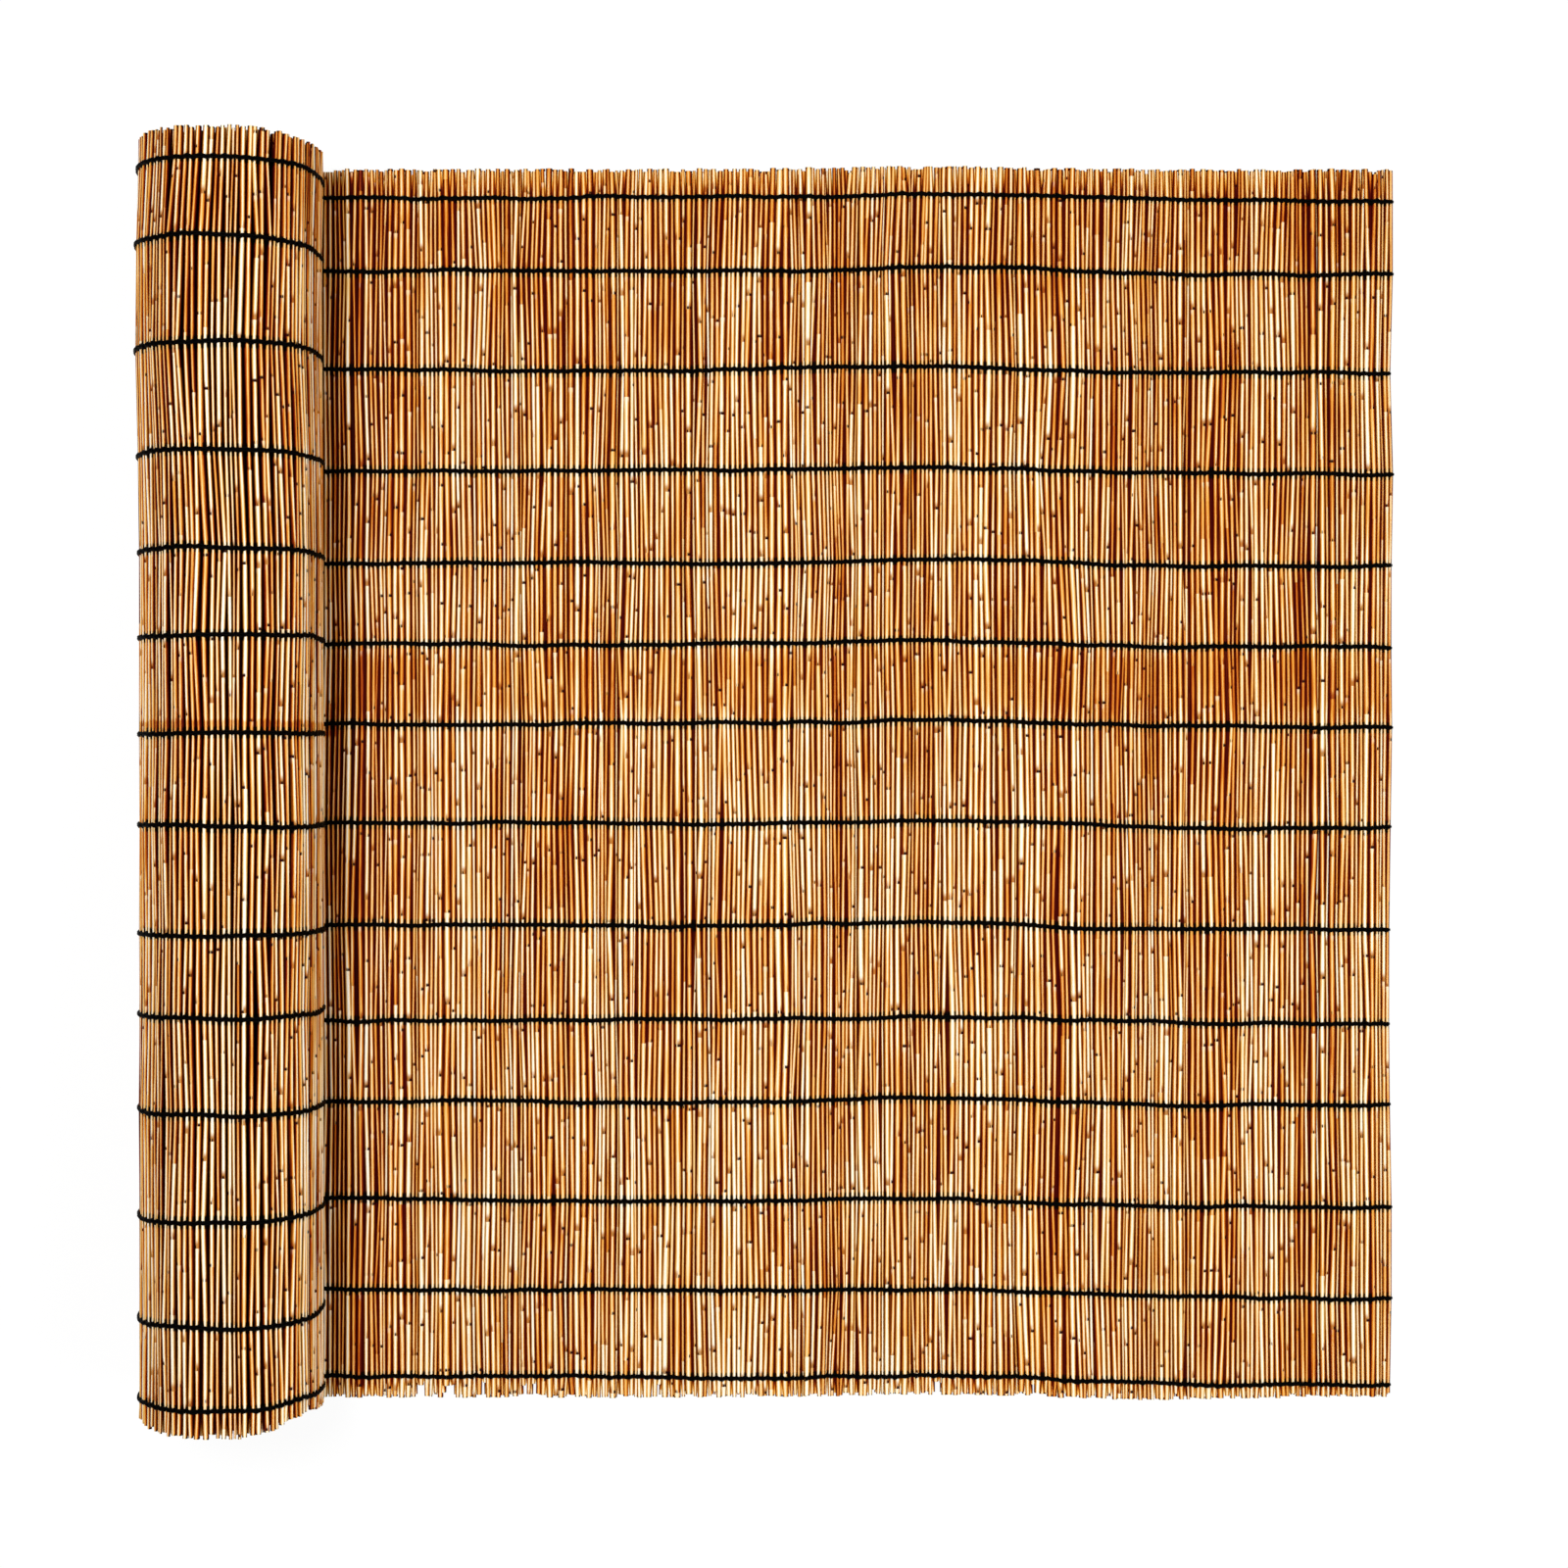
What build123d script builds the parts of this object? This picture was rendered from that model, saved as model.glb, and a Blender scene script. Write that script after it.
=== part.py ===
"""Reed screening, part unrolled: a roll of reeds at the left and the flat mat that comes off it.

Millimetres, +Z up. The mat lies on the floor at Z = 0, its reeds run along Y, and it unrolls towards +X.
The origin is on the floor, at the middle of the space that the whole screen takes up.
"""

import math
import os

from build123d import *

# Reeds
reed_length = 1500.0  # height of the screen when it stands as a fence
reed_diameter = 6.4
reed_squeeze = 0.3  # how far the binding presses one reed into the next
flat_reed_count = 229  # reeds in the part that is unrolled

# Binding wires
wire_diameter = 2.8
wire_rows = 14
wire_runs = 28  # straight runs of wire round one turn of the roll
wire_clearance = 0.05  # between those runs and the reeds under them
top_row_inset = 33.0  # from the reeds' upper ends to the first row
foot_row_inset = 21.0  # from the last row to the reeds' lower ends
row_drift = (0, 21, 11, -1, -3, 9, 23, 12, -2, -6, 5, -6, -5, 0)  # each row's wander from its even place

# Roll
roll_radius = 110.0  # over the wires
bore_radius = 41.0
gap_turns = 5  # turns that have another turn inside them
turn_gap_depth = 15.0  # how deep the space between two turns is cut into the roll's ends

# Several hundred reeds and wires are drawn with a few flats each instead of round
section_flats = 8

# Worked out from the sizes above
reed_radius = reed_diameter / 2
reed_pitch = reed_diameter - reed_squeeze
flat_length = flat_reed_count * reed_pitch
mat_thickness = reed_diameter + 2 * wire_diameter  # one turn of the roll is this thick too
reed_mid_height = wire_diameter + reed_radius
front_wire_height = mat_thickness - wire_diameter / 2
back_wire_height = wire_diameter / 2
roll_axis_x = (roll_radius - flat_length) / 2
flat_mid_x = roll_axis_x + flat_length / 2
reed_end_y = reed_length / 2
crest_radius = roll_radius - wire_diameter  # over the reeds of the outermost turn
core_radius = crest_radius - reed_radius

# The roll is a spiral of half turns. Each left half is round the lower centre, and each right half is round
# the upper one and half a turn's thickness smaller, so that the halves meet and the mat leaves at the floor.
LEFT, RIGHT = 90, -90  # the angle where each half's arc starts
centre_height = {LEFT: roll_radius, RIGHT: roll_radius + mat_thickness / 2}
radius_lost = {LEFT: 0.0, RIGHT: mat_thickness / 2}


def row_positions():
    """Y of each row of binding, from the upper ends of the reeds to the lower."""
    first = reed_end_y - top_row_inset
    spacing = (reed_length - top_row_inset - foot_row_inset) / (wire_rows - 1)
    return [first - spacing * row + row_drift[row] for row in range(wire_rows)]


def half_ring(side, outer_radius, inner_radius):
    """Adds one half turn to the sketch, given the radii that it has on the left."""
    middle = (roll_axis_x, centre_height[side])
    with BuildLine() as outline:
        outer = CenterArc(middle, outer_radius - radius_lost[side], side, 180)
        inner = CenterArc(middle, inner_radius - radius_lost[side], side, 180)
        Line(outer @ 0, inner @ 0)
        Line(outer @ 1, inner @ 1)
    make_face(outline.edges())


def flat_sided(radius, flats, mode=Mode.ADD):
    """Draws a circle as a few flats that touch it, with one of them on top."""
    RegularPolygon(radius, flats, major_radius=False, rotation=180 / flats, mode=mode)


def outer_reeds(side):
    """Adds the outermost half turn's reeds to the sketch."""
    row_radius = core_radius - radius_lost[side]
    count = round(math.pi * row_radius / reed_pitch)
    step = 180 / count
    with Locations((roll_axis_x, centre_height[side])):
        with PolarLocations(row_radius, count, side + step / 2, 180 - step, endpoint=True):
            flat_sided(reed_radius, section_flats)


def wire_round_roll(side):
    """Adds half a turn of wire to the sketch, as the straight runs that it makes over the reeds."""
    outer_radius = roll_radius - radius_lost[side]
    inner_radius = crest_radius + wire_clearance - radius_lost[side]
    to_the_side = (Align.MAX if side == LEFT else Align.MIN, Align.CENTER)
    with BuildSketch(mode=Mode.PRIVATE) as half_turn:
        with Locations((roll_axis_x, centre_height[side])):
            flat_sided(outer_radius, wire_runs)
            flat_sided(inner_radius, wire_runs, Mode.SUBTRACT)
            Rectangle(2 * roll_radius, 3 * roll_radius, align=to_the_side, mode=Mode.INTERSECT)
    add(half_turn.sketch)


def save(piece, label):
    """Names a finished piece and writes it to its own file."""
    piece.part.label = label
    export_step(piece.part, f"parts/{label}.step")


os.makedirs("parts", exist_ok=True)
upper_end = Plane.XZ.offset(-reed_end_y)  # everything is drawn here and pushed towards the lower end

# Flat mat: one layer of reeds, with the gaps between them on both faces
with BuildPart() as flat_reeds:
    with BuildSketch(upper_end):
        with Locations((flat_mid_x, reed_mid_height)):
            with GridLocations(reed_pitch, 0, flat_reed_count, 1):
                flat_sided(reed_radius, section_flats)
            Rectangle(flat_length, reed_diameter, mode=Mode.INTERSECT)
    extrude(amount=reed_length)
save(flat_reeds, "flat_reeds")

# Roll: the outermost turn's reeds round one turned body with a bore, and the turns cut into both ends
with BuildPart() as rolled_reeds:
    with BuildSketch(upper_end):
        for side in (LEFT, RIGHT):
            half_ring(side, core_radius, bore_radius)
            outer_reeds(side)
        with Locations((roll_axis_x, 0)):
            Rectangle(roll_radius, mat_thickness, align=(Align.MIN, Align.MIN), mode=Mode.SUBTRACT)
        with Locations((roll_axis_x, roll_radius)):
            Circle(bore_radius, mode=Mode.SUBTRACT)
    extrude(amount=reed_length)
    with BuildSketch(upper_end, upper_end.offset(reed_length)):
        for turn in range(gap_turns):
            outer_side = crest_radius - reed_diameter - turn * mat_thickness
            inner_side = crest_radius - (turn + 1) * mat_thickness
            for side in (LEFT, RIGHT):
                half_ring(side, outer_side, inner_side)
    extrude(amount=turn_gap_depth, both=True, mode=Mode.SUBTRACT)
save(rolled_reeds, "rolled_reeds")

# Binding: in every row one wire lies over the reeds and one under them, and the one under them goes on round
# the outside of the roll
for row, row_y in enumerate(row_positions(), start=1):
    for label, height in (("front_wire", front_wire_height), ("back_wire", back_wire_height)):
        with BuildPart() as straight_wire:
            with BuildSketch(Plane.YZ.offset(roll_axis_x)):
                with Locations((row_y, height)):
                    flat_sided(wire_diameter / 2, section_flats)
            extrude(amount=flat_length)
        save(straight_wire, f"{label}_{row:02d}")
    with BuildPart() as roll_wire:
        with BuildSketch(Plane.XZ.offset(-row_y - wire_diameter / 2)):
            for side in (LEFT, RIGHT):
                wire_round_roll(side)
        extrude(amount=wire_diameter)
    save(roll_wire, f"roll_wire_{row:02d}")
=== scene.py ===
# %% [markdown]
# # A reed screen, part unrolled
#
# A reed screen is a few hundred dry reeds laid side by side and bound with rows of wire. This one lies on
# the floor with its left part still rolled up. The real one is made flat and rolled up afterwards, so this
# lesson does the same: every piece is first laid out on a flat mat, and one short function then rolls up
# whatever lies left of the line where the mat leaves the roll. The mat's sizes come from the CAD frame that
# is loaded first.

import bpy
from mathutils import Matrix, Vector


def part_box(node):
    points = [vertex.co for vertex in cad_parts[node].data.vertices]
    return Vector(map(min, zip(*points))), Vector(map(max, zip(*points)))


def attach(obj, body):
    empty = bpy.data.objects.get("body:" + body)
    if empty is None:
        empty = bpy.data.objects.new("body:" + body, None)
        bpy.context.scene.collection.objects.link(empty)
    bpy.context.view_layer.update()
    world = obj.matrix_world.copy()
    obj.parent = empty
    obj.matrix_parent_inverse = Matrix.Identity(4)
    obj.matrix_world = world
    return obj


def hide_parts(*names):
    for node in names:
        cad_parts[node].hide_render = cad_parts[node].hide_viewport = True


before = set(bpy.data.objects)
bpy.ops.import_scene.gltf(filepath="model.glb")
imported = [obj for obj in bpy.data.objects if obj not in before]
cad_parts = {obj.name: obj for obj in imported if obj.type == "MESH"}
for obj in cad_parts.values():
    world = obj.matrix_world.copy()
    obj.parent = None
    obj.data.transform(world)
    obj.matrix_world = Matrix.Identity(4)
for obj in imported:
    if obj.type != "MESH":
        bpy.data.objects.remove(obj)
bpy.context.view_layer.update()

# %% [markdown]
# ## Sizes
#
# Lengths are in metres. What the CAD solids already know is read from their boxes, and the few values that
# only the looks need are named where they are first used.

# %% Sizes from the frame
import math
import random

import bmesh
import bpy
from mathutils import Matrix, Vector, noise

MM = 0.001
rows = range(1, 15)
mat_low, mat_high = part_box("flat_reeds")
leaving_x = mat_low.x
flat_length = mat_high.x - mat_low.x
reed_foot, reed_top = mat_low.y, mat_high.y
reed_length = reed_top - reed_foot
mat_middle = (mat_low.z + mat_high.z) / 2
roll_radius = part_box("roll_wire_01")[1].z / 2
row_y = {row: sum(corner.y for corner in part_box(f"back_wire_{row:02d}")) / 2 for row in rows}
print(f"flat {flat_length:.3f} m, reeds {reed_length:.3f} m, roll radius {roll_radius:.3f} m")

# %% [markdown]
# ## Rolling up
#
# A spiral could be drawn with a formula that shrinks steadily, but a string of half circles is simpler and
# meets the floor exactly. Each half turn is half the mat's thickness smaller than the one before it, and
# its centre jumps up or down by the same amount, so the half circles join without a step.

# %% Roll up the left part
loosest_slack = 6 * MM  # how far the outermost turn hangs out at its lower right
slack_passed_on = 0.55  # share of a turn's slack that the next turn inwards has
squareness = 0.07  # how far the roll has settled from a round towards a square outline
crest_lean = 3  # millimetres that the roll leans to the right at its crest
crest_bow = 7  # millimetres that the crest is bowed to the left at bow_y
bow_y, bow_width = 0.56, 0.17


def swell(value, middle, width):
    """A smooth bump that is 1 at its middle and dies away at its sides."""
    return math.exp(-(((value - middle) / width) ** 2))


def eased(value):
    """0 below 0, 1 above 1 and a smooth slope between."""
    value = min(max(value, 0), 1)
    return value * value * (3 - 2 * value)


def rolled_up(along, height):
    """Where a point of the flat mat ends up, as x and z, once the mat left of the leaving line is rolled."""
    if along >= 0:
        return leaving_x + along, height
    to_go = -along
    radius = roll_radius - mat_middle
    half_turns = 0
    while to_go > math.pi * radius:
        to_go -= math.pi * radius
        radius -= mat_middle
        half_turns += 1
    on_left = half_turns % 2 == 0
    centre = roll_radius if on_left else roll_radius + mat_middle
    angle = (-math.pi / 2 if on_left else math.pi / 2) - to_go / radius
    reach = radius + mat_middle - height
    slack = 0
    if not on_left and angle < 0:
        slack = loosest_slack * slack_passed_on ** (half_turns // 2) * math.sin(-2 * angle)
    aside = reach * math.cos(angle)
    above = centre - roll_radius + reach * math.sin(angle)
    settled = 1 + squareness * (2 * aside * above / (aside**2 + above**2)) ** 2
    return leaving_x + aside * settled + slack, roll_radius + above * settled


def placed(along, y, height):
    """Where a point of the mat lies once it is rolled up and the roll leans and is bowed a little."""
    x, z = rolled_up(along, height)
    if along < 0:
        x += (crest_lean - crest_bow * swell(y, bow_y, bow_width)) * MM * z / (2 * roll_radius)
    return x, y, z


outer_turn = math.pi * (2 * roll_radius - 3 * mat_middle)
print(f"outermost turn takes {outer_turn:.3f} m of mat")

# %% [markdown]
# ## How the mat wanders
#
# The rows of binding aren't straight: they sag and climb by a few millimetres along the mat and take the
# reeds with them, and on the roll some rows lie a little higher or lower than on the flat part. The wander
# is written as a few smooth swells, which is easier to read and to change than a list of places.
#
# The roll's foot end isn't straight either. The mat ran a little to one side as it was rolled up, so the
# roll's right side is drawn up there by one or two centimetres, together with the turns inside it.

# %% Let the rows wander
# Both are by row: how much higher it lies on the roll, and how much it climbs from the roll to the free edge
roll_shift = {7: -15 * MM, 10: 21 * MM, 11: 10 * MM, 12: 10 * MM, 14: 10 * MM}
climb = {8: -3 * MM, 9: -3 * MM, 12: -8 * MM, 13: -10 * MM, 14: -9 * MM}
onto_roll_length = 0.15  # of mat, over which a row shifts to its place on the roll
last_row_lift = 6 * MM  # where the roll's right side is drawn up
hump_height = 4.5 * MM
sag_depth = 3.6 * MM  # beyond the hump
sag_start, sag_length = 0.92, 0.25
long_sway, short_sway = 0.9 * MM, 2.4 * MM


def humped(along):
    """1 where the whole flat mat has slipped up, and 0 away from it."""
    return swell(along, 0.83, 0.14)


def drawn_up(along):
    """1 where the roll's right side is drawn up at the foot end, and 0 away from it."""
    return swell(along, -0.43, 0.045)


def common_wander(along):
    """How far up or down the whole mat has slipped at a place along it."""
    return hump_height * humped(along) - sag_depth * eased((along - sag_start) / sag_length)


def row_place(row, along):
    """Y of a row of binding at a place along the mat."""
    sway = long_sway * math.sin(11 * along + 2.1 * row)
    sway += short_sway * noise.noise(Vector((20 * along, 7.3 * row, 0.5)))
    tilt = climb.get(row, 0) * (along / flat_length - 0.5) if along > 0 else 0
    onto_roll = roll_shift.get(row, 0) * eased(-along / onto_roll_length)
    lift = last_row_lift * drawn_up(along) if row == rows[-1] else 0
    return row_y[row] + common_wander(along) + sway + tilt + onto_roll + lift


first_row = [1000 * row_place(1, tenth * flat_length / 10) for tenth in range(11)]
print(f"the first row wanders by {max(first_row) - min(first_row):.1f} mm on the flat part")

# %% Draw the mat's two edges
crest_place = -0.327  # where the crest of the outermost turn lies along the mat
curve_reach = 0.065  # this far from the crest the roll's foot is foot_curve higher
foot_curve, most_foot_curve = 3.0, 9  # millimetres
foot_drawn_up, inner_drawn_up = 10, 12  # millimetres, of the outermost turn and of the turns inside it
inner_from, inner_reach = 0.035, 0.045  # right of the leaving line, where the inner turns are drawn up
inner_short = 1  # millimetres
flat_over, roll_over = 1, 2  # millimetres that the reeds reach past the CAD solids' ends
foot_hump, top_hump = 3, 3.6  # millimetres that the hump shifts the edges up
top_drawn_in = 4  # millimetres, where the roll's right side is drawn up


def foot_line(along):
    """Y of the mat's lower edge."""
    if along > 0:
        return reed_foot + foot_hump * MM * (humped(along) - swell(along, 1.1, 0.1)) - flat_over * MM
    if along < -outer_turn:
        aside = rolled_up(along, mat_middle)[0] - leaving_x
        return reed_foot + (inner_short + inner_drawn_up * eased((aside - inner_from) / inner_reach)) * MM
    off_crest = (along - crest_place) / curve_reach
    curve = min(foot_curve * off_crest**2, most_foot_curve)
    return reed_foot + (curve + foot_drawn_up * drawn_up(along)) * MM


def top_line(along):
    """Y of the mat's upper edge."""
    if along > 0:
        return reed_top + (flat_over + top_hump * humped(along)) * MM
    return reed_top + (roll_over - top_drawn_in * drawn_up(along)) * MM


print(f"at the roll's crest a reed is {top_line(crest_place) - foot_line(crest_place):.3f} m long")

# %% [markdown]
# ## The reeds' places
#
# Real reeds differ in thickness, and they lean this way and that from one row of binding to the next.
# Neighbours lean together, so a smooth noise field moves them sideways as a crowd, and each reed then adds
# a wander of its own. Past the last row the reeds' ends are free. In a few places they part and leave a
# V-shaped notch in the edge, and here and there a tip has broken off.

# %% Lean the reeds together
foot_partings = (0.39, 0.99)  # places along the mat
top_partings = (0.45, 0.73, 0.81, 0.97, 1.33)
widest_parting = 1.8 * MM  # to each side
parting_reach = 0.015
crowd_width = 3.5 * MM  # how far the noise can push a crowd of reeds


def crowd_drift(along, y):
    """How far the reeds near a place on the mat are pushed sideways together."""
    return crowd_width * noise.noise(Vector((16 * along, 8 * y, 0.5)))


def parted(along, places):
    """How far a reed's free end leans away from the nearest parting."""
    shift = 0
    for place in places:
        away = along - place
        shift += math.copysign(widest_parting * math.exp(-abs(away) / parting_reach), away)
    return shift


print(len(foot_partings), "partings at the foot,", len(top_partings), "at the top")

# %% Describe one reed
chance = random.Random(41)
stretches = len(rows) + 1  # straight lengths of one reed, from row to row and past the last ones
nominal_radius = (mat_high.z - mat_low.z) / 2
thick_rise = 0.8  # a reed's middle lies higher by this share of its extra radius
loose_share = 0.25  # of the reeds wander more than the others and ride a little higher
loose_wander = 2.3
loose_lift = 0.5 * MM
end_splay = 0.45 * MM
lift_spread = 0.35 * MM
girth_spread = 0.07
cut_spread = 2.0  # millimetres by which the reeds' ends are uneven
longest_over = 1.8 * MM  # past the mat's edge
snapped_share = 0.03  # of the ends are shorter still
least_snapped, most_snapped = 2, 8  # millimetres
broken_feet = (0.206, 0.211, 0.240, 0.247, 0.284, 0.337, 0.348, 0.500, 0.842, 0.957)
broken_reach = 3.2 * MM  # to both sides of each of these places, reeds have lost the tips of their feet
broken_length = 15 * MM


class Reed:
    """One reed: how thick it is, where it lies along the mat, and the points of its middle line."""

    def __init__(self, along, radius, wander):
        self.along = along
        self.radius = radius
        self.height = mat_middle + thick_rise * (radius - nominal_radius)
        # front_light and back_light below 1 lower the crown value on the reed's front or back, so the
        # material paints shade there; depth sets how much painted shade the reed's sides get
        self.front_light = self.back_light = 1.0
        self.depth = 1.0  # how dark the reed's sides are
        self.tone = chance.random()
        self.phase = chance.random()
        if chance.random() < loose_share:
            wander *= loose_wander
            self.height += loose_lift
        held = []
        for row in reversed(rows):
            y = row_place(row, along)
            held.append(self.point(y, crowd_drift(along, y) + chance.gauss(0, wander)))
        foot_side = held[0][1] + chance.gauss(0, end_splay) + parted(along, foot_partings)
        top_side = held[-1][1] + chance.gauss(0, end_splay) + parted(along, top_partings)
        foot = foot_line(along) + self.cut_short()
        if any(abs(along - place) < broken_reach for place in broken_feet):
            foot += broken_length
        self.points = [
            self.point(foot, foot_side),
            *held,
            self.point(top_line(along) - self.cut_short(), top_side),
        ]

    def point(self, y, side):
        """A point of the middle line, with a little lift and a girth of its own."""
        return y, side, chance.gauss(0, lift_spread), chance.gauss(1, girth_spread)

    def cut_short(self):
        """How far inside the mat's edge the reed was cut; below 0 it reaches past the edge."""
        short = abs(chance.gauss(0, cut_spread)) * MM - longest_over
        if chance.random() < snapped_share:
            short += chance.uniform(least_snapped, most_snapped) * MM
        return short

    def middle(self, station):
        """The middle line's y, side shift, lift and girth at a station; whole numbers are the points."""
        lower = min(max(int(station), 0), stretches - 1)
        share = station - lower
        return [a + (b - a) * share for a, b in zip(self.points[lower], self.points[lower + 1])]

    def bound_at(self, row):
        """The side shift, lift and girth where a row of binding holds the reed."""
        return self.points[-1 - row][1:]


print("one reed has", stretches, "straight lengths")

# %% [markdown]
# Thicknesses are drawn at random and then scaled so that the reeds fill their stretch of the mat exactly.
# Round the outside of the roll the mat is bent open, so there the reeds stand slightly apart and dark gaps
# show. On the flat part thin reeds that slipped behind the others close the gaps. Their fronts get painted
# shade, as little light gets down to them. Beside the roll the reeds are thinner and darker by painted shade,
# as if in its shadow.

# %% Lay the reeds side by side
width_spread = 0.21  # of the mean width
thinnest, thickest = 0.6, 1.4  # of the mean width


def lay_reeds(start, end, spacing, fill, wander):
    """Reeds from one place along the mat to another; fill is how much of its share each reed takes up."""
    count = round((end - start) / spacing)
    widths = [min(max(chance.gauss(1, width_spread), thinnest), thickest) for _ in range(count)]
    scale = (end - start) / sum(widths)
    laid = []
    edge = start
    for width in widths:
        width *= scale
        laid.append(Reed(edge + width / 2, fill * width / 2, wander))
        edge += width
    return laid


shade_length, shade_fade = 0.10, 0.12  # of mat


def near_roll(along):
    """1 in the shade beside the roll and 0 further along the flat part."""
    return 1 - eased((along - shade_length) / shade_fade)


flat_spacing = 6.1 * MM
roll_spacing = 6.4 * MM
inner_length = 1.95  # of mat in the turns inside the outermost one
tone_contrast = 0.8  # how much further apart tones are beside the roll and on its sides
shade_thinness = 0.19
shade_darkness = 1.05
stains = (0.383, 0.725, 0.809, 0.989, 1.289)  # where the reeds are browner
stain_width = 0.012
stain_darkness = 0.5
flat_reeds = lay_reeds(0, flat_length, flat_spacing, fill=1.06, wander=0.5 * MM)
# Beside the roll the reeds get painted shade, as if in its shadow. The stains are places where the reeds are
# browner in their own colour.
for reed in flat_reeds:
    shade = near_roll(reed.along)
    stain_here = sum(swell(reed.along, stain, stain_width) for stain in stains)
    reed.radius *= 1 - shade_thinness * shade
    reed.tone *= 1 + tone_contrast * shade
    reed.tone -= shade_darkness * shade + stain_darkness * stain_here
print(len(flat_reeds), "flat reeds")

# %% Tuck thin reeds behind the gaps
tucked_behind = 1.3 * MM
tucked_clearance = 0.9 * MM  # under a tucked reed, for the back wire
tucked_short = 2 * MM  # at both ends
tucked_light = 0.5  # on a tucked reed's front
light_lost = 0.24  # of it beside the roll


def tuck_reeds(reeds):
    """Thin reeds behind the gaps between the given ones."""
    tucked = []
    for left, right in zip(reeds, reeds[1:]):
        along = (left.along + left.radius + right.along - right.radius) / 2
        thin = Reed(along, (left.radius + right.radius) / 2, 0)
        thin.height = max(min(left.height, right.height) - tucked_behind, thin.radius + tucked_clearance)
        # Painted shade: a tucked reed's front is darker, and darker still beside the roll
        thin.front_light = tucked_light - light_lost * near_roll(along)
        for number, (before, after) in enumerate(zip(left.points, right.points)):
            lowest, highest = foot_line(along) + tucked_short, top_line(along) - tucked_short
            y = min(max(thin.points[number][0], lowest), highest)
            thin.points[number] = (y, (before[1] + after[1]) / 2, min(before[2], after[2]), 1)
        tucked.append(thin)
    return tucked


tucked_reeds = tuck_reeds(flat_reeds)
print(len(tucked_reeds), "tucked reeds")

# %% Lay the reeds that are rolled up
outer_reeds = lay_reeds(-outer_turn, 0, roll_spacing, fill=0.82, wander=0.6 * MM)
inner_reeds = lay_reeds(-outer_turn - inner_length, -outer_turn, flat_spacing, fill=1.03, wander=0.3 * MM)
print(len(outer_reeds), "reeds in the outermost turn,", len(inner_reeds), "inside it")

# %% [markdown]
# The roll's canes get painted light along its crest and in a narrow band on its right side, and painted shade
# down its two sides. There their tones also spread further apart, and here and there a cane gets nearly black
# painted shade, as in a dark gap, but never two side by side. The turns inside get little light, so they get
# painted shade.

# %% Tone the roll
flank_start, flank_rise = 0.06, 0.06  # of mat, from the crest on both sides
flank_end, flank_fall = 0.165, 0.04


def on_flank(along):
    """1 on the roll's two upper sides, and 0 along its crest and underneath."""
    off_crest = abs(along - crest_place)
    return eased((off_crest - flank_start) / flank_rise) - eased((off_crest - flank_end) / flank_fall)


inner_light = 0.38
roll_darkness = 0.25
painted_light_places = ((0.4, -0.335, 0.08), (0.8, -0.445, 0.03))  # how pale, where along the mat, how wide
side_darkness = 0.9
gap_shade_share = 0.55  # of the odd-numbered canes on the roll's sides
gap_shade = 1.5  # how much darker such a cane is
depth_lost = 0.3  # on the roll's sides
# The turns inside get painted shade on both faces, except near their ends
for reed in inner_reeds:
    reed.front_light = reed.back_light = inner_light
for number, reed in enumerate(outer_reeds):
    flank = on_flank(reed.along)
    # Less painted shade between the canes on the roll's sides
    reed.depth = 1 - depth_lost * flank
    reed.tone *= 1 + tone_contrast * flank
    # Painted light makes the canes paler along the crest and in a band at the right side; painted shade makes
    # them darker down both sides. The whole turn is also a little darker.
    reed.tone += sum(paleness * swell(reed.along, place, width) for paleness, place, width in painted_light_places)
    reed.tone -= roll_darkness + side_darkness * flank
    # Painted shade: on the roll's sides some odd-numbered canes are made nearly black, standing in for dark
    # gaps
    if number % 2 and reed.phase < gap_shade_share:
        reed.tone -= gap_shade * flank
roll_tones = [reed.tone for reed in outer_reeds]
print(f"the roll's tones run from {min(roll_tones):.2f} to {max(roll_tones):.2f}")

# %% [markdown]
# ## One reed's form
#
# A reed is a thin hollow cane. It could be a bare cylinder, but the roll's ends show hundreds of cut canes,
# so the form has a wall and a hollow. It starts as a unit cylinder that is cut into lengths, so that it can
# kink where it likes. The form is made once, with few faces, and every reed is a bent copy of it.

# %% Make a unit rod
reed_sides = 6


def unit_rod(lengths, sides):
    """A closed rod of radius 1 that runs along Y from 0, with a ring of points at every whole number."""
    form = bmesh.new()
    bmesh.ops.create_cone(form, cap_ends=True, segments=sides, radius1=1, radius2=1, depth=lengths)
    bmesh.ops.rotate(form, verts=form.verts, matrix=Matrix.Rotation(-math.pi / 2, 3, "X"))
    bmesh.ops.translate(form, verts=form.verts, vec=(0, lengths / 2, 0))
    long_edges = [edge for edge in form.edges if abs(edge.verts[0].co.y - edge.verts[1].co.y) > 0.5]
    bmesh.ops.subdivide_edges(form, edges=long_edges, cuts=lengths - 1, use_grid_fill=True)
    for face in form.faces:
        face.smooth = abs(face.normal.y) < 0.5
    bmesh.ops.recalc_face_normals(form, faces=form.faces)
    return form


cane = unit_rod(stretches, reed_sides)
print("a bare cane has", len(cane.faces), "faces")

# %% Hollow the cane's ends
wall_share = 0.35  # of the cane's radius
hollow_depth = 0.08  # in lengths of the rod
wall_cut, hollow_cut = 0.5, 1.0  # values of the cut attribute, which is 0 on a cane's skin
cut_here = cane.faces.layers.float.new("cut")
caps = [face for face in cane.faces if abs(face.normal.y) > 0.5]
for cap in caps:
    for edge in cap.edges:
        edge.smooth = False
inset = bmesh.ops.inset_individual(cane, faces=caps, thickness=wall_share, depth=0, use_even_offset=True)
for cap in caps:
    bmesh.ops.translate(cane, verts=cap.verts, vec=-hollow_depth * cap.normal)
for face in inset["faces"]:
    face[cut_here] = wall_cut
for face in caps:
    face[cut_here] = hollow_cut
print("a hollow cane has", len(cane.faces), "faces")


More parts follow.
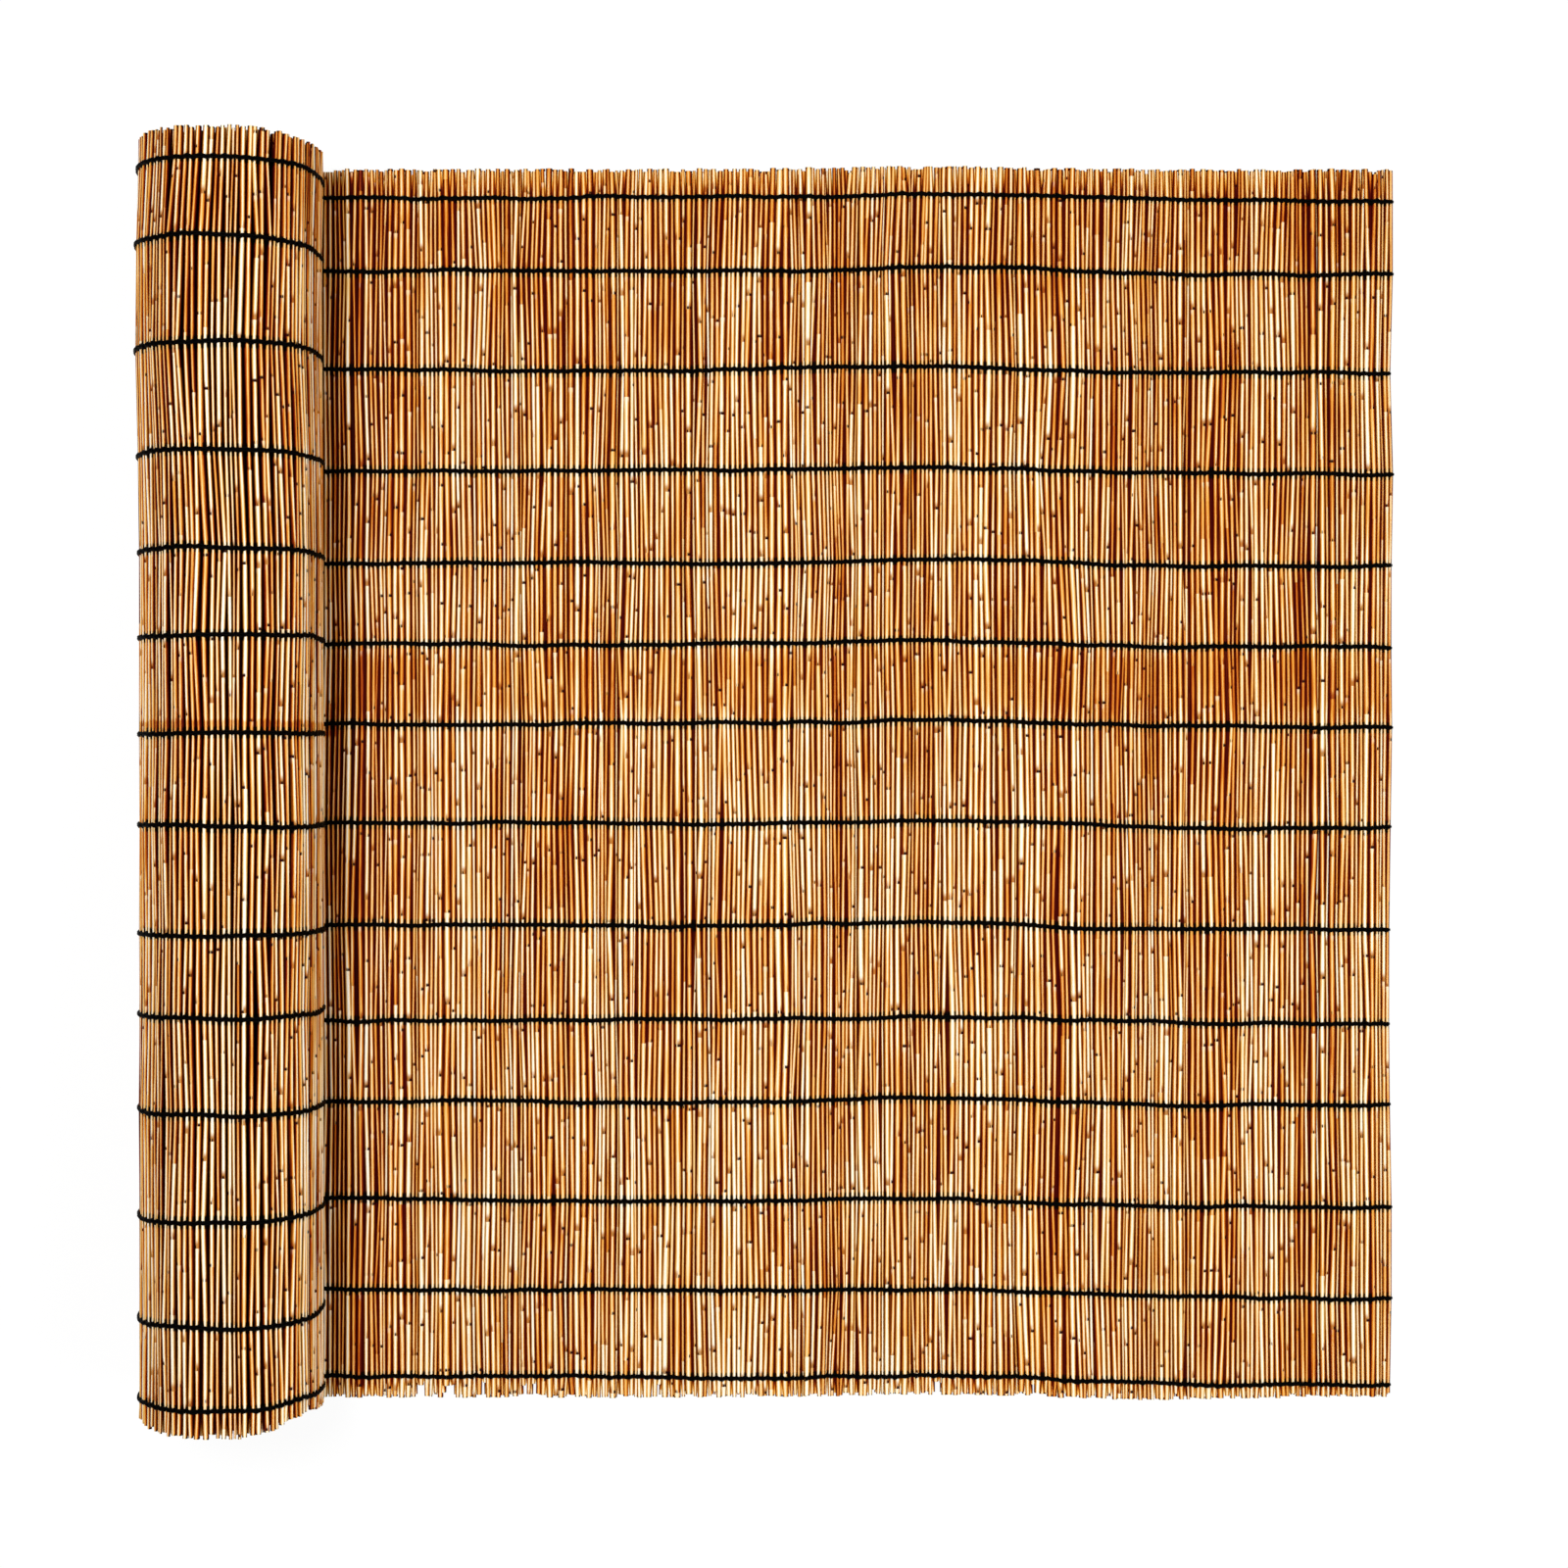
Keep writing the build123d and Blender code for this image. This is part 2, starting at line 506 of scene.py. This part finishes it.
# %% Keep the form for copying
def as_form(form, name):
    """Turns a finished bmesh into a mesh that can be copied or shown."""
    mesh = bpy.data.meshes.new(name)
    form.to_mesh(mesh)
    form.free()
    return mesh


reed_form = as_form(cane, "reed_form")
print("the reed's form has", len(reed_form.vertices), "points")

# %% [markdown]
# ## From forms to pieces
#
# Instances of one form would be lighter, but every reed kinks in its own way and bends with the mat. So each
# is a real copy, whose points are moved to their places on the mat and then rolled up.
#
# A few small values are stored with every point for the material to read: the reed's own tone, a phase that
# moves its joints about, the station along the reed, where whole numbers are rows of binding, how far the
# point lies to one side of the reed, and how near it is to the reed's crown, which is low in the gaps. The
# material paints a highlight near the crown and shade in the gaps with it, and the value is lowered on reeds
# that lie behind others, so they get painted shade too. The form's faces already say where the cut ends are.
# Past the last row of binding the value isn't lowered on any reed, so the tips are bright again.


# %% Bend copies of the form into reeds
def as_piece(whole, name):
    """Puts a finished bmesh into the scene as one object."""
    piece = bpy.data.objects.new(name, as_form(whole, name))
    bpy.context.scene.collection.objects.link(piece)
    print(name, len(piece.data.polygons), "faces")
    return piece


def reeds_piece(name, reeds):
    """One object with all the given reeds."""
    whole = bmesh.new()
    layers = {key: whole.verts.layers.float.new(key) for key in ("tone", "phase", "station", "side", "crown")}
    for reed in reeds:
        start = len(whole.verts)
        whole.from_mesh(reed_form)
        whole.verts.ensure_lookup_table()
        for vert in whole.verts[start:]:
            x, station, z = vert.co
            y, side, lift, girth = reed.middle(station)
            # Reeds behind others get painted shade through a lower crown value, but not near their ends
            daylight = reed.front_light if z > 0 else reed.back_light
            if not 0.5 < station < stretches - 0.5:
                daylight = 1.0
            vert[layers["tone"]] = reed.tone
            vert[layers["phase"]] = reed.phase
            vert[layers["station"]] = station
            vert[layers["side"]] = x
            vert[layers["crown"]] = (1 - (1 - abs(z)) * reed.depth) * daylight
            along = reed.along + side + girth * reed.radius * x
            height = reed.height + lift + girth * reed.radius * z
            vert.co = placed(along, y, height)
    return as_piece(whole, name)


flat_piece = reeds_piece("mat_reeds", flat_reeds)
tucked_piece = reeds_piece("mat_tucked_reeds", tucked_reeds)
outer_piece = reeds_piece("roll_outer_reeds", outer_reeds)
inner_piece = reeds_piece("roll_inner_reeds", inner_reeds)

# %% [markdown]
# ## The binding
#
# In every row, thin black wire runs over and under the reeds as a twisted pair. It could be a plain tube
# along the row, but then it wouldn't look as if it held the reeds.
#
# So a strand is a long rod whose rings sit at the middle of each reed and in each gap: it rises over every
# reed and dips between them. The two strands of a pair lie close together over the reeds, and in each gap
# one of them swings out where the pair is twisted.

# %% Lay strands over the reeds
strand_radius = 1.6 * MM
pair_offset = 1.0 * MM
gap_dip = 1.3 * MM
least_swing, most_swing = 1.5, 3.0  # millimetres that a strand swings out in a gap
calm_swing = 0.6  # millimetres, of the other strand
tail_length = 3.2 * MM
tail_height = 1.5 * MM  # above or below the middle of the mat


def strand_seat(reed, row, over):
    """Where a strand passes over a reed: the place along the mat, the strand's height, the reed's radius."""
    side, lift, girth = reed.bound_at(row)
    radius = girth * reed.radius
    height = reed.height + lift + over * (radius + strand_radius)
    return reed.along + side, max(height, strand_radius), radius


def strand_path(reeds, row, over, hand):
    """Points of one strand as (along, y, height); over is 1 above the reeds and -1 below, hand 1 or -1."""
    path = []
    for number, reed in enumerate(reeds):
        along, crest, radius = strand_seat(reed, row, over)
        path.append((along, row_place(row, along) + pair_offset * hand, crest))
        if number + 1 < len(reeds):
            next_along, next_crest, next_radius = strand_seat(reeds[number + 1], row, over)
            gap = (along + radius + next_along - next_radius) / 2
            level = (crest + next_crest) / 2 - over * gap_dip
            swings_out = (number + (hand > 0)) % 2
            twist = hand * (chance.uniform(least_swing, most_swing) if swings_out else calm_swing) * MM
            path.append((gap, row_place(row, gap) + twist, max(level, strand_radius)))
    return path


def tail_path(path, over, hand):
    """One more point that tucks a strand's cut end in at the mat's free edge."""
    along, y, height = path[-1]
    return path + [(along + tail_length, y - hand * pair_offset, mat_middle + over * tail_height)]


print(f"a strand is {2 * strand_radius / MM:.1f} mm thick")


# %% Bend rods into strands
def strands_piece(name, paths, radius, sides):
    """One object with a rod along each of the given paths."""
    whole = bmesh.new()
    forms = {}
    for path in paths:
        lengths = len(path) - 1
        if lengths not in forms:
            forms[lengths] = as_form(unit_rod(lengths, sides), "strand_form")
        start = len(whole.verts)
        whole.from_mesh(forms[lengths])
        whole.verts.ensure_lookup_table()
        for vert in whole.verts[start:]:
            along, y, height = path[round(vert.co.y)]
            vert.co = placed(along, y + radius * vert.co.x, height + radius * vert.co.z)
    bmesh.ops.recalc_face_normals(whole, faces=whole.faces)
    return as_piece(whole, name)


strand_sides = 5
hands = (1, -1)
front_paths = [tail_path(strand_path(flat_reeds, row, 1, hand), 1, hand) for row in rows for hand in hands]
back_paths = [tail_path(strand_path(flat_reeds, row, -1, hand), -1, hand) for row in rows for hand in hands]
wrap_reeds = outer_reeds + flat_reeds[:1]
wrap_paths = [strand_path(wrap_reeds, row, -1, hand) for row in rows for hand in hands]
front_wires = strands_piece("mat_front_wires", front_paths, strand_radius, strand_sides)
back_wires = strands_piece("mat_back_wires", back_paths, strand_radius, strand_sides)
roll_wires = strands_piece("roll_outer_wires", wrap_paths, strand_radius, strand_sides)

# %% [markdown]
# Inside the roll the wires are out of sight except in the narrow gaps between the turns at its ends, so
# there one plainer strand stands for each pair.

# %% Add the wires between the turns
hidden_strand_sides = 4
hidden_paths = [strand_path(inner_reeds + outer_reeds[:1], row, over, 1) for row in rows for over in (1, -1)]
hidden_paths += [strand_path(wrap_reeds, row, 1, 1) for row in rows]
inner_wires = strands_piece("roll_inner_wires", hidden_paths, strand_radius, hidden_strand_sides)

# %% [markdown]
# ## Shader maths
#
# Node graphs are easier to read as sums. Flow wraps what comes out of a socket, and its operators add Math
# nodes. Recipe holds one material's nodes and has a single method that adds any other node.


# %% Write node graphs as sums
class Flow:
    """What flows out of a node's socket, ready for sums."""

    def __init__(self, recipe, socket):
        self.recipe = recipe
        self.socket = socket

    def sum(self, operation, *values):
        """A Math node with the given values in its sockets."""
        return self.recipe.node("Math", {"operation": operation}, dict(enumerate(values)))

    def __add__(self, other):
        return self.sum("ADD", self, other)

    def __sub__(self, other):
        return self.sum("SUBTRACT", self, other)

    def __mul__(self, other):
        return self.sum("MULTIPLY", self, other)

    def __rsub__(self, other):
        return self.sum("SUBTRACT", other, self)

    def __truediv__(self, other):
        return self.sum("DIVIDE", self, other)

    __radd__ = __add__
    __rmul__ = __mul__

    def size(self):
        """The value without its sign."""
        return self.sum("ABSOLUTE", self)

    def floor(self):
        """The whole number below the value."""
        return self.sum("FLOOR", self)

    def between(self, low, high):
        """0 below low, 1 above high and a smooth slope between."""
        limits = {"Value": self, "From Min": low, "From Max": high}
        return self.recipe.node("MapRange", {"interpolation_type": "SMOOTHSTEP"}, limits)


print("what flows out of a node can now be added and multiplied")


# %% Gather the nodes of one material
class Recipe:
    """The nodes of one material."""

    def __init__(self, name):
        self.material = bpy.data.materials.new(name)
        self.material.use_nodes = True
        self.tree = self.material.node_tree
        self.tree.nodes.clear()

    def node(self, kind, settings=None, inputs=None, output=0):
        """Adds a node, sets it up, fills or links its sockets and gives one of its outputs."""
        made = self.tree.nodes.new("ShaderNode" + kind)
        for name, value in (settings or {}).items():
            if name == "stops":
                ramp = made.color_ramp.elements
                while len(ramp) < len(value):
                    ramp.new(1.0)
                for element, (place, colour) in zip(ramp, value):
                    element.position = place
                    element.color = colour
            else:
                setattr(made, name, value)
        for name, value in (inputs or {}).items():
            if isinstance(value, Flow):
                self.tree.links.new(value.socket, made.inputs[name])
            else:
                made.inputs[name].default_value = value
        return Flow(self, made.outputs[output])

    def blend(self, share, first, second, kind="MIX"):
        """Mixes two colours."""
        settings = {"data_type": "RGBA", "blend_type": kind}
        return self.node("Mix", settings, {0: share, 6: first, 7: second}, 2)

    def grain(self, place, stretch, scale, detail=2.0):
        """Noise from 0 to 1, stretched differently along each axis."""
        stretched = self.node("VectorMath", {"operation": "MULTIPLY"}, {0: place, 1: stretch})
        return self.node("TexNoise", None, {"Vector": stretched, "Scale": scale, "Detail": detail})

    def finish(self, colour, roughness, normal=None, **fixed):
        """Closes the material with a Principled shader."""
        inputs = {"Base Color": colour, "Roughness": roughness, **fixed}
        if normal:
            inputs["Normal"] = normal
        surface = self.node("BsdfPrincipled", None, inputs)
        self.node_output(surface)
        return self.material

    def node_output(self, surface):
        """Sends a shader to the material's output."""
        out = self.tree.nodes.new("ShaderNodeOutputMaterial")
        self.tree.links.new(surface.socket, out.inputs["Surface"])


print("a recipe can add nodes, blend colours and finish a material")


# %% Turn screen colours into light
def as_light(part):
    """One part of a screen colour as an amount of light."""
    return part / 12.92 if part <= 0.04045 else ((part + 0.055) / 1.055) ** 2.4


def screen_colour(*parts):
    """A colour as it is seen on a screen, turned into the light values that shaders use."""
    return (*(as_light(part) for part in parts), 1.0)


print(f"half brightness on a screen is {as_light(0.5):.3f} of the light")

# %% [markdown]
# ## Dry reed
#
# Dry reed runs from cream through straw and amber to red-brown, and one cane changes colour at its joints,
# where a leaf sheath has come off. A single noise would mottle all canes alike. Here each cane's own tone,
# a random step at every joint and streaks that run along the cane are added up and sent through one ramp.
# The joints are dark marks that seldom go all the way round. Each cane gets a painted highlight along its
# crest and painted shade down its sides, where it touches its neighbours: a deep red-brown, nearly black deep
# in the gaps and where the binding pulls the canes together. In calm patches, and in a belt where the bundle
# was strapped, the canes are a plainer brown with less painted highlight and shade.

# %% Read a point's place and the values stored with it
canes = Recipe("dry_reed")
places = canes.node("TexCoord", output=3)
rightward = canes.node("SeparateXYZ", None, {0: places}, 0)
across = canes.node("SeparateXYZ", None, {0: places}, 1)
tone = canes.node("Attribute", {"attribute_name": "tone"}, output=2)
phase = canes.node("Attribute", {"attribute_name": "phase"}, output=2)
station = canes.node("Attribute", {"attribute_name": "station"}, output=2)
side = canes.node("Attribute", {"attribute_name": "side"}, output=2)
crown = canes.node("Attribute", {"attribute_name": "crown"}, output=2)
cut = canes.node("Attribute", {"attribute_name": "cut"}, output=2)
print(len(canes.tree.nodes), "nodes read the canes")

# %% Find the joints of each cane
shortest_internode = 0.065  # metres from joint to joint
internode_range = 0.09
joint_spacing = phase * internode_range + shortest_internode
joint_place = across / joint_spacing + phase * 37.0
joint_number = joint_place.floor()
since_joint = (joint_place - joint_number) * joint_spacing
joint_key = canes.node("CombineXYZ", None, {0: phase * 91.0, 1: joint_number})
joint_chance = canes.node("TexWhiteNoise", {"noise_dimensions": "2D"}, {"Vector": joint_key})
print(f"joints are {shortest_internode:.3f} to {shortest_internode + internode_range:.3f} m apart")

# %% Streak the canes
along_cane = canes.node("CombineXYZ", None, {0: side, 1: across, 2: phase * 53.0 + joint_number * 1.7})
streaks = canes.grain(along_cane, (1.5, 14.0, 1.0), 1.0, 3.0)
halves = canes.grain(along_cane, (0.6, 3.0, 1.0), 1.0)
fibres = canes.grain(along_cane, (7.0, 30.0, 1.0), 1.0)
clouds = canes.grain(places, (1.0, 1.6, 1.0), 5.0)
patches = canes.grain(places, (1.0, 0.5, 1.0), 16.0)
mottle = (streaks - 0.5) * 0.85 + (halves - 0.5) * 0.4 + (fibres - 0.5) * 0.35 + (clouds - 0.5) * 0.35
print("streaks, halves, fibres and clouds add up to the mottle")

# %% Mark the belt and the calm patches
strap_y = 0.123  # middle of the belt that the sun didn't bleach
strap_shift = 0.058  # how much lower the belt is on the roll
strap_edge = (0.028, 0.048)  # metres from its middle, where the belt fades out
roll_side = (-0.54, -0.53)  # X where the roll ends and the flat part starts
on_roll = 1.0 - rightward.between(*roll_side)
from_strap = (across - strap_y + on_roll * strap_shift).size() * (1.0 + on_roll * 4.0)
strap_mark = 1.0 - (from_strap + (streaks - 0.5) * 0.08).between(*strap_edge)
calm = (1.0 - patches.between(0.40, 0.58)).sum("MAXIMUM", strap_mark)
print(f"the belt lies at y {strap_y:.3f} m on the flat part and {strap_y - strap_shift:.3f} m on the roll")

# %% Colour the canes
# own adds the cane's own tone and mottle to a painted highlight on its crest and painted shade down its
# sides, from the crown value; both are softer in calm patches
own = tone * 0.24 + joint_chance * 0.34 + mottle * (1.0 - calm * 0.35) + crown * (1.9 - calm * 0.5)
stained = strap_mark * (on_roll * 0.11 + 0.05)
bleached = calm * 0.33 - across * 0.045 - rightward * 0.05 - across.between(0.56, 0.68) * 0.05
lit_ripeness = own + bleached - stained - 1.235
cane_colours = [
    (0.00, screen_colour(0.30, 0.03, 0.00)),
    (0.18, screen_colour(0.60, 0.18, 0.01)),
    (0.36, screen_colour(0.83, 0.45, 0.05)),
    (0.54, screen_colour(0.93, 0.69, 0.29)),
    (0.72, screen_colour(0.98, 0.86, 0.62)),
    (0.92, screen_colour(1.00, 0.98, 0.92)),
]
cane_colour = canes.node("ValToRGB", {"stops": cane_colours}, {0: lit_ripeness})
print("canes run through", len(cane_colours), "colours")

# %% Mark the joints
ring_end = (0.0023, 0.0048)  # metres past a joint, where its dark ring fades out
scar_end = (0.004, 0.012)  # metres past a joint, where its pale brown scar fades out
pale_spot_start = (0.002, 0.008)  # metres before a joint, over which a pale spot fades out
ring = (1.0 - since_joint.between(*ring_end)) * (streaks + side * 0.12).between(0.51, 0.57)
scar = (1.0 - since_joint.between(*scar_end)) * (halves + joint_chance * 0.25).between(0.64, 0.72)
# A pale spot just before some joints, fainter on darker canes
bare = (1.0 - (joint_spacing - since_joint).between(*pale_spot_start)) * halves.between(0.50, 0.60)
with_scars = canes.blend(scar, cane_colour, screen_colour(0.74, 0.54, 0.32), "MULTIPLY")
with_pale_spot = canes.blend(bare * 0.5 * lit_ripeness.between(0.1, 0.5), with_scars, screen_colour(1.00, 0.93, 0.78))
with_joints = canes.blend(ring, with_pale_spot, screen_colour(0.16, 0.02, 0.00))
print(f"a joint's ring is {1000 * ring_end[0]:.1f} mm long")

# %% Paint shade into the gaps, beside the binding and in the hollows, and colour the cuts
binding_shade_end = (0.050, 0.075)  # of a stretch, from a row of binding
# Painted shade: a cane's sides turn deep red-brown where it meets its neighbours, less in calm patches
groove_shade = (1.0 - crown.between(0.45, 0.76)) * (1.0 - calm * 0.35)
with_groove_shade = canes.blend(groove_shade, with_joints, screen_colour(0.25, 0.00, 0.00))
# Painted shade: nearly black deep in the gaps
pit_shade = 1.0 - crown.between(0.15, 0.40)
with_pit_shade = canes.blend(pit_shade, with_groove_shade, screen_colour(0.05, 0.00, 0.00))
# Painted shade: in streaks, the gaps turn nearly black close to each row of binding
from_row = (station - (station + 0.5).floor()).size()
binding_shade = (1.0 - from_row.between(*binding_shade_end)) * (1.0 - crown.between(0.60, 0.82))
with_binding_shade = canes.blend(binding_shade * streaks.between(0.25, 0.40), with_pit_shade, screen_colour(0.03, 0.00, 0.00))
with_walls = canes.blend(cut.between(0.2, 0.4), with_binding_shade, screen_colour(0.84, 0.66, 0.40))
# Painted shade: the hollow of a cut end is dark brown
with_hollow_shade = canes.blend(cut.between(0.6, 0.8), with_walls, screen_colour(0.22, 0.10, 0.04))
print(f"canes are dark for {1000 * binding_shade_end[0] * reed_length / stretches:.0f} mm on both sides of a row")

# %% Give the canes their skin
relief = streaks * 0.6 + fibres * 0.6 + ring * 1.2
bumps = canes.node("Bump", None, {"Height": relief, "Strength": 0.25, "Distance": 0.0006})
skin = {"Specular IOR Level": 0.03, "Coat Weight": crown.between(0.6, 0.85) * 0.06, "Coat Roughness": 0.4}
reed_material = canes.finish(with_hollow_shade, streaks * 0.25 + 0.45, bumps, **skin)
print("dry_reed has", len(canes.tree.nodes), "nodes")

# %% [markdown]
# ## Black wire
#
# The wire has a thin black coat with a faint shine. An even black would look like a printed line, so the
# colour and the roughness vary a little, as where reed dust has dulled the coat in patches.

# %% Mix the wire material
wire = Recipe("black_wire")
wire_places = wire.node("TexCoord", output=3)
dust = wire.grain(wire_places, (1.0, 1.0, 1.0), 260.0).between(0.45, 0.80)
wire_colour = wire.blend(dust * 0.3, screen_colour(0.01, 0.01, 0.01), screen_colour(0.07, 0.03, 0.02))
wire_material = wire.finish(wire_colour, dust * 0.3 + 0.45, **{"Specular IOR Level": 0.02})
print("black_wire has", len(wire.tree.nodes), "nodes")

# %% Dress the pieces, attach them to the root and hide the CAD parts they replace
reed_pieces = (flat_piece, tucked_piece, outer_piece, inner_piece)
wire_pieces = (front_wires, back_wires, roll_wires, inner_wires)
for pieces, material, slot in ((reed_pieces, reed_material, "reed"), (wire_pieces, wire_material, "binding")):
    for piece in pieces:
        piece.data.materials.append(material)
        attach(piece, "root")
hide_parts("flat_reeds")
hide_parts("flat_reeds")
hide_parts("rolled_reeds")
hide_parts("rolled_reeds")
for row in rows:
    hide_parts(f"front_wire_{row:02d}")
    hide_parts(f"back_wire_{row:02d}")
    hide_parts(f"roll_wire_{row:02d}")
print(len(reed_pieces) + len(wire_pieces), "pieces dressed")

# %% [markdown]
# ## Floor, light and camera
#
# The screen lies on a white floor and is seen from straight above. The floor is pale under the lamps, and
# camera rays also get a share of plain white from it, so it looks white without more light on the reeds.
# Far from the screen it is plain white altogether, so that no horizon shows behind it.
#
# The light is that of a product photo. A bright sky alone would leave the reeds flat, and small lamps would
# throw hard shadows, so a weak sky is joined by a large lamp at the upper left and a larger one at the right.

# %% Lay the floor
floor_size = 40
plain_white = 0.9  # share of plain white that the camera sees near the screen
white_from, white_to = 2.0, 6.0  # metres from the middle, where that share grows to the whole
bpy.ops.mesh.primitive_plane_add(size=floor_size, location=(0, 0, 0))
floor = bpy.context.object
floor.name = "floor"
ground = Recipe("floor_white")
matt = ground.node("BsdfDiffuse", None, {"Color": (0.9, 0.9, 0.9, 1.0)})
glow = ground.node("Emission", None, {"Color": (1.0, 1.0, 1.0, 1.0), "Strength": 1.02})
seen = ground.node("LightPath", output=0)
from_middle = ground.node("VectorMath", {"operation": "LENGTH"}, {0: ground.node("TexCoord", output=3)}, 1)
far = from_middle.between(white_from, white_to)
white_share = seen * (far * (1 - plain_white) + plain_white)
ground.node_output(ground.node("MixShader", None, {0: white_share, 1: matt, 2: glow}))
floor.data.materials.append(ground.material)
print(f"floor is {floor_size} m wide")

# %% Light the sky
sky_strength = 0.38  # on the screen; the camera itself sees plain white
world = bpy.data.worlds.new("plain_light")
bpy.context.scene.world = world
world.use_nodes = True
sky = world.node_tree
background = sky.nodes["Background"]
background.inputs["Color"].default_value = (1.0, 1.0, 1.0, 1.0)
seen_directly = sky.nodes.new("ShaderNodeLightPath")
strength = sky.nodes.new("ShaderNodeMapRange")
strength.inputs["To Min"].default_value = sky_strength
sky.links.new(seen_directly.outputs["Is Camera Ray"], strength.inputs["Value"])
sky.links.new(strength.outputs["Result"], background.inputs["Strength"])
print("sky strength", sky_strength)


# %% Hang the lamps
def soft_lamp(name, place, size, power):
    """A large square lamp that faces the middle of the screen."""
    light = bpy.data.lights.new(name, "AREA")
    light.size = size
    light.energy = power
    lamp = bpy.data.objects.new(name, light)
    lamp.location = place
    lamp.rotation_euler = (-lamp.location).to_track_quat("-Z", "Y").to_euler()
    bpy.context.scene.collection.objects.link(lamp)
    return lamp


key_lamp = soft_lamp("key_lamp", place=(-1.1, 0.8, 4.1), size=1.2, power=110)
fill_lamp = soft_lamp("fill_lamp", place=(3.0, -1.0, 3.1), size=2.5, power=82)
for lamp in (key_lamp, fill_lamp):
    print(lamp.name, f"gives {lamp.data.energy:.0f} W")

# %% Place the camera
photo_pixels = 1600
metres_per_pixel = 1.2 * MM
camera_above_mat = 3.12
camera_y = -1.0 * MM
free_edge_pixel = 1420
sensor_width = 36  # millimetres

camera_data = bpy.data.cameras.new("camera")
camera_data.sensor_width = sensor_width
camera_data.lens = sensor_width * camera_above_mat / (photo_pixels * metres_per_pixel)
camera = bpy.data.objects.new("camera", camera_data)
camera_x = mat_high.x - (free_edge_pixel - photo_pixels / 2) * metres_per_pixel
camera.location = (camera_x, camera_y, mat_high.z + camera_above_mat)
bpy.context.scene.collection.objects.link(camera)
bpy.context.scene.camera = camera
bpy.context.scene.view_settings.view_transform = "Standard"
print(f"camera at x {camera_x:.4f} m, lens {camera_data.lens:.1f} mm")
